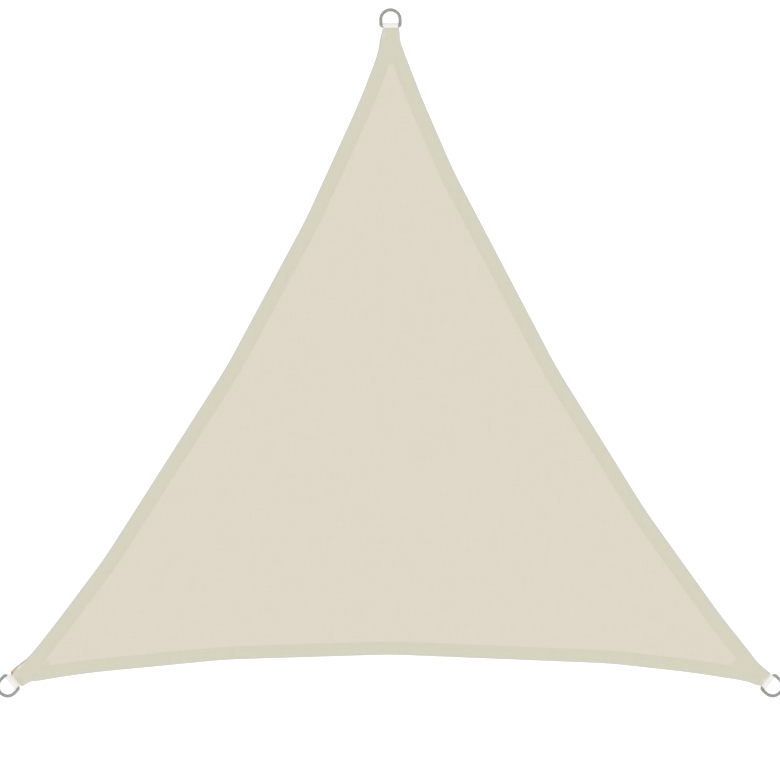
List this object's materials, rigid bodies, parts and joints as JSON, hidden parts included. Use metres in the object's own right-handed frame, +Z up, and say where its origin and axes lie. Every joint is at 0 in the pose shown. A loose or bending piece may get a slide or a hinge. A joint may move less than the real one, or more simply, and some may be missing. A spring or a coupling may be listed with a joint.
{
  "type": "shade sail",
  "caption": "Triangular woven shade sail with inward-curving hemmed edges and a D-ring on a webbing loop at each corner, laid out flat.",
  "frame": {"origin": "middle of the three corner necks, on the surface that the sail lies on", "axes": "+Z up, out of the sail's upper face; +Y towards the top corner in the picture; +X to the right, seen from above"},
  "size_m": [2.0951, 1.8338, 0.0113],
  "materials": {
    "sail_cloth": "matt woven polyester sail cloth, cream",
    "webbing": "white flat polyester webbing",
    "ring": "dull grey steel wire"
  },
  "bodies": {
    "root": {"sail_cloth": "sail_cloth", "webbing_loop_top": "webbing", "webbing_loop_left": "webbing", "webbing_loop_right": "webbing", "d_ring_top": "ring", "d_ring_left": "ring", "d_ring_right": "ring"}
  },
  "joints": []
}
